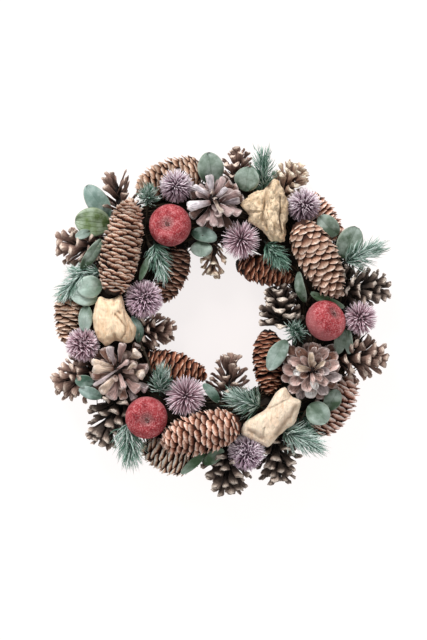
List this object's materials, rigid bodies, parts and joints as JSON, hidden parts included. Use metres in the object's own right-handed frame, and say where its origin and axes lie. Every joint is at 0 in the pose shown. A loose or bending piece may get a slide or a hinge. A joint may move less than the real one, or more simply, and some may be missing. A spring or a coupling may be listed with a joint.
{
  "type": "pinecone wreath",
  "caption": "Round wreath of spruce and pine cones, thistle heads, frosted apples, pale husks, leaves and needle sprays on a flat-backed ring.",
  "frame": {"origin": "middle of the wreath's outline seen from the front, on the plane of its flat back", "axes": "+Z out of the wreath's front, +Y towards its top, +X to the right seen from the front"},
  "size_m": [0.3554, 0.3606, 0.0801],
  "materials": {
    "ring": "rough dark binding, hidden under what is glued to it",
    "spruce_cone": "dry matt scales, pale pinkish tan with darker thin edges",
    "pine_cone": "dry matt scales, dark brown with pale tips",
    "grey_pine_cone": "dry matt scales, mauve grey with pale rims",
    "thistle": "fine dry spines, pink mauve over dark purple",
    "apple": "red skin with a dusty pink frost",
    "husk": "smooth pale cream with brown creases",
    "greenery": "frosted grey green leaves and needles"
  },
  "bodies": {
    "root": {"ring": "ring", "apple_top_left": "apple", "apple_right": "apple", "apple_bottom_left": "apple", "spruce_cone_left_large": "spruce_cone", "spruce_cone_right_large": "spruce_cone", "spruce_cone_bottom_large": "spruce_cone", "pine_cone_grey_top": "grey_pine_cone", "pine_cone_grey_left": "grey_pine_cone", "pine_cone_grey_right": "grey_pine_cone", "husk_folded": "husk", "husk_pear": "husk", "husk_stalk": "husk", "thistle_head_top_left": "thistle", "thistle_head_hole_top": "thistle", "thistle_head_top_right": "thistle", "thistle_head_left_upper": "thistle", "thistle_head_left_lower": "thistle", "thistle_head_right": "thistle", "thistle_head_hole_bottom": "thistle", "thistle_head_bottom": "thistle", "spruce_cone_top_left": "spruce_cone", "spruce_cone_left_outer": "spruce_cone", "spruce_cone_top_right": "spruce_cone", "spruce_cone_right_lower": "spruce_cone", "spruce_cone_bottom_under": "spruce_cone", "spruce_cone_hole_top_left": "spruce_cone", "spruce_cone_hole_top_right": "spruce_cone", "spruce_cone_hole_right": "spruce_cone", "spruce_cone_hole_bottom_left": "spruce_cone", "pine_cone_top_left": "pine_cone", "pine_cone_left_upper": "pine_cone", "pine_cone_top": "pine_cone", "pine_cone_top_right": "pine_cone", "pine_cone_right_upper": "pine_cone", "pine_cone_right_lower": "pine_cone", "pine_cone_left_lower": "pine_cone", "pine_cone_bottom_left": "pine_cone", "pine_cone_bottom": "pine_cone", "pine_cone_bottom_right": "pine_cone", "pine_cone_hole_right": "pine_cone", "pine_cone_hole_left": "pine_cone", "pine_cone_hole_top": "pine_cone", "pine_cone_hole_bottom": "pine_cone", "leaves_top_left": "greenery", "greenery_top_left": "greenery", "leaf_top": "greenery", "greenery_top": "greenery", "leaves_hole_top": "greenery", "greenery_left": "greenery", "greenery_hole_left": "greenery", "leaves_left_lower": "greenery", "greenery_right_upper": "greenery", "needles_hole_top": "greenery", "leaves_right": "greenery", "greenery_hole_right": "greenery", "greenery_right_lower": "greenery", "leaves_bottom": "greenery", "greenery_hole_bottom": "greenery", "needles_bottom_left": "greenery"}
  },
  "joints": []
}
